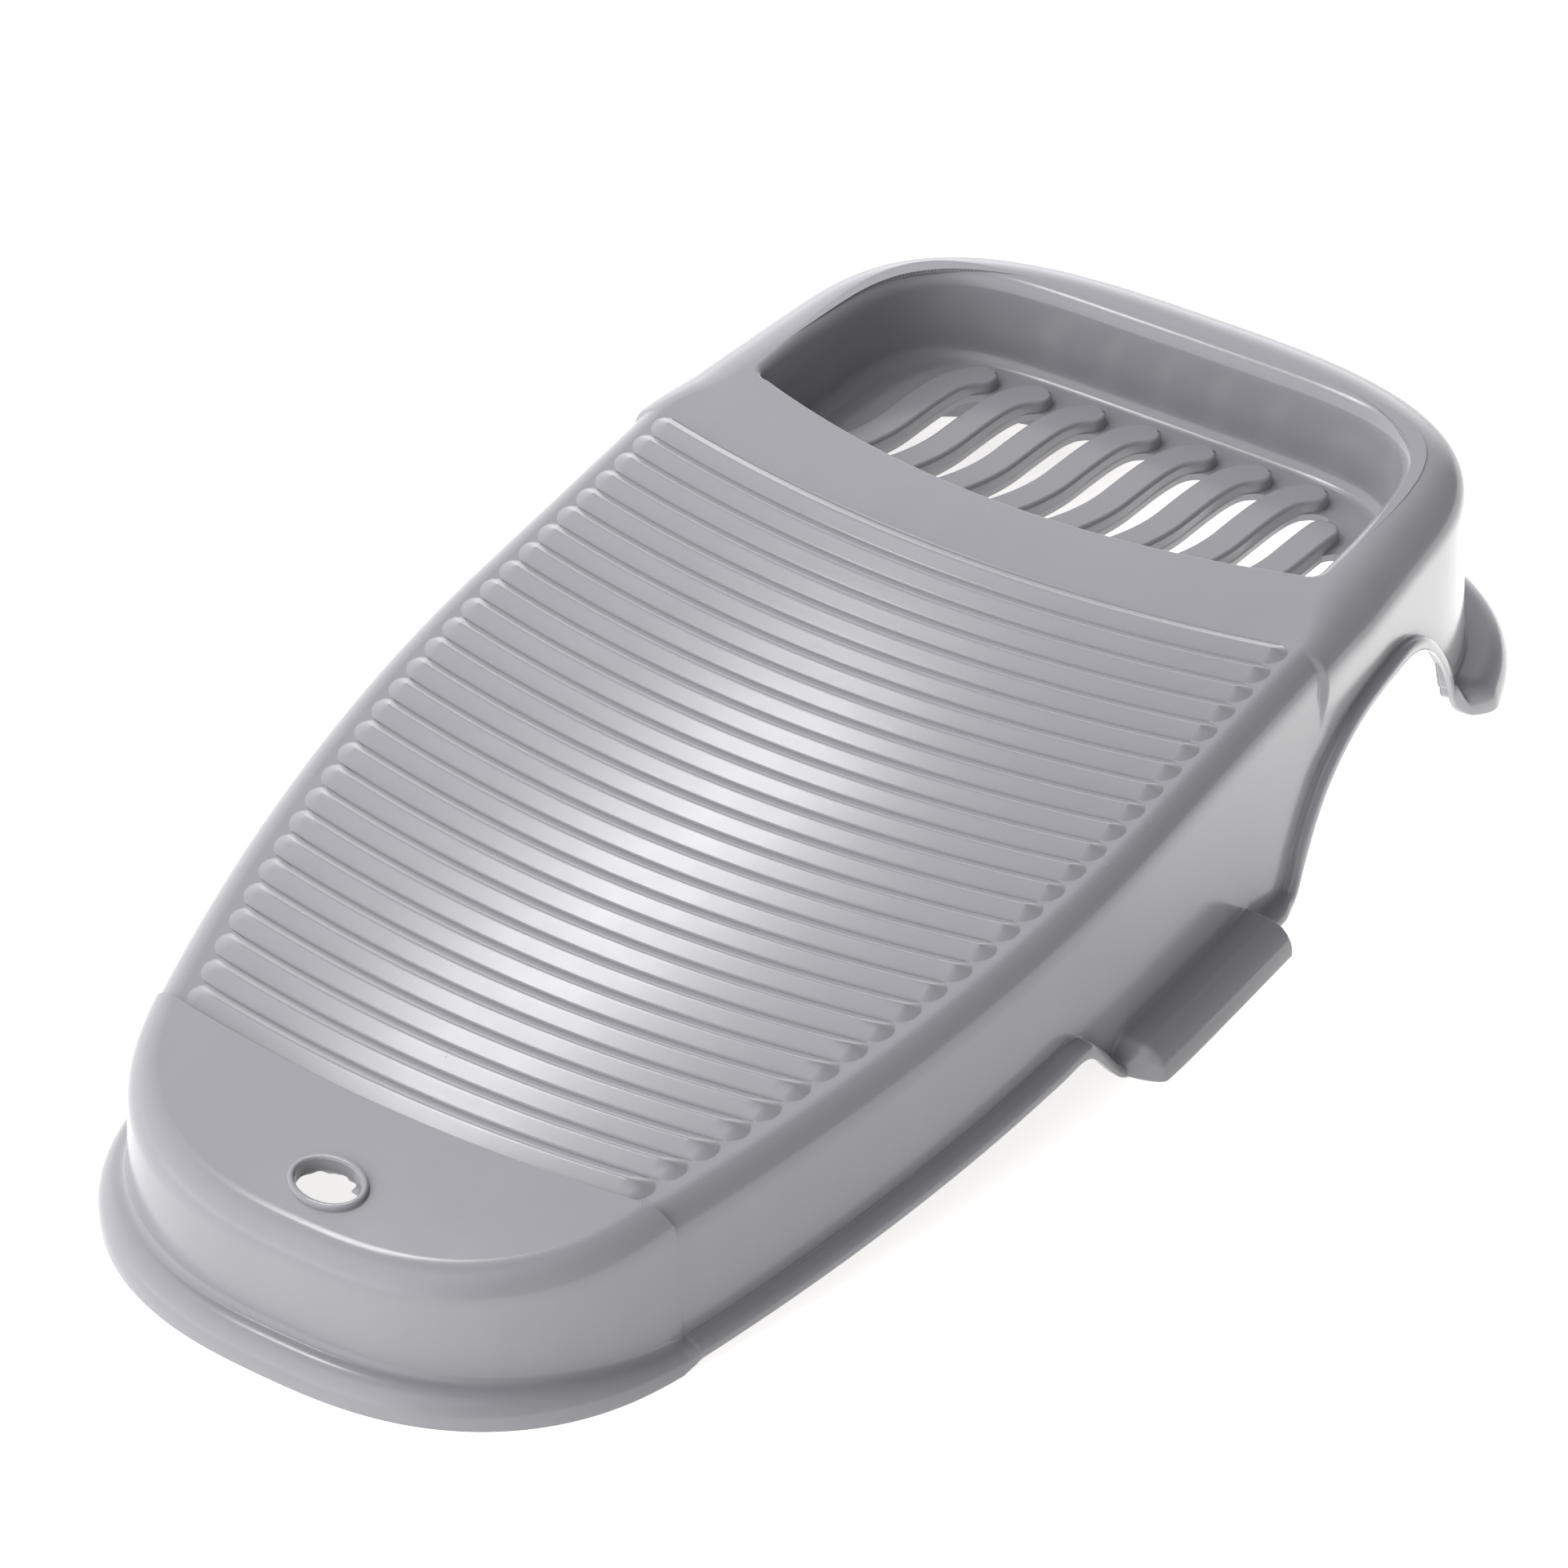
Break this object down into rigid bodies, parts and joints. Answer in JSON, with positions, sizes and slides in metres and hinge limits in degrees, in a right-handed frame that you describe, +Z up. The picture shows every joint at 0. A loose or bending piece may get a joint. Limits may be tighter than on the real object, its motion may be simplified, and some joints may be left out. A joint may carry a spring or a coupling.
{
  "type": "washboard",
  "caption": "Ribbed plastic washboard with a smooth front apron, hanging hole, drained soap tray at the high end and a skirt with side ledges that sits over a basin.",
  "frame": {"origin": "middle of the footprint on the plane it stands on", "axes": "+Z up, -Y towards the low apron end, +X the board's right side seen from above with the apron towards the viewer"},
  "size_m": [0.2904, 0.5426, 0.0781],
  "materials": {
    "scrub_field": "polished grey polypropylene, glossy, with faint moulding flow marks",
    "soap_tray": "polished grey polypropylene",
    "smooth_top": "polished grey polypropylene with faint sink lines and specks",
    "skirt": "polished grey polypropylene with faint vertical sink marks",
    "base_edge": "polished grey polypropylene"
  },
  "bodies": {
    "root": {"scrub_rib_01": "scrub_field", "scrub_rib_02": "scrub_field", "scrub_rib_03": "scrub_field", "scrub_rib_04": "scrub_field", "scrub_rib_05": "scrub_field", "scrub_rib_06": "scrub_field", "scrub_rib_07": "scrub_field", "scrub_rib_08": "scrub_field", "scrub_rib_09": "scrub_field", "scrub_rib_10": "scrub_field", "scrub_rib_11": "scrub_field", "scrub_rib_12": "scrub_field", "scrub_rib_13": "scrub_field", "scrub_rib_14": "scrub_field", "scrub_rib_15": "scrub_field", "scrub_rib_16": "scrub_field", "scrub_rib_17": "scrub_field", "scrub_rib_18": "scrub_field", "scrub_rib_19": "scrub_field", "scrub_rib_20": "scrub_field", "scrub_rib_21": "scrub_field", "scrub_rib_22": "scrub_field", "scrub_rib_23": "scrub_field", "scrub_rib_24": "scrub_field", "scrub_rib_25": "scrub_field", "scrub_rib_26": "scrub_field", "scrub_rib_27": "scrub_field", "scrub_rib_28": "scrub_field", "tray_slat_1": "soap_tray", "tray_slat_2": "soap_tray", "tray_slat_3": "soap_tray", "tray_slat_4": "soap_tray", "tray_slat_5": "soap_tray", "tray_slat_6": "soap_tray", "tray_slat_7": "soap_tray", "tray_slat_8": "soap_tray", "front_apron": "smooth_top", "hang_hole_collar": "smooth_top", "scrub_deck": "scrub_field", "head_band": "smooth_top", "tray_rim": "soap_tray", "tray_wall": "soap_tray", "tray_floor": "soap_tray", "front_skirt": "skirt", "rear_skirt": "skirt", "front_lip": "base_edge", "rear_lip": "base_edge", "left_front_skirt": "skirt", "left_middle_skirt": "skirt", "left_rear_skirt": "skirt", "left_front_flange": "base_edge", "left_rear_flange": "base_edge", "left_side_ledge": "base_edge", "right_front_skirt": "skirt", "right_middle_skirt": "skirt", "right_rear_skirt": "skirt", "right_front_flange": "base_edge", "right_rear_flange": "base_edge", "right_side_ledge": "base_edge"}
  },
  "joints": []
}
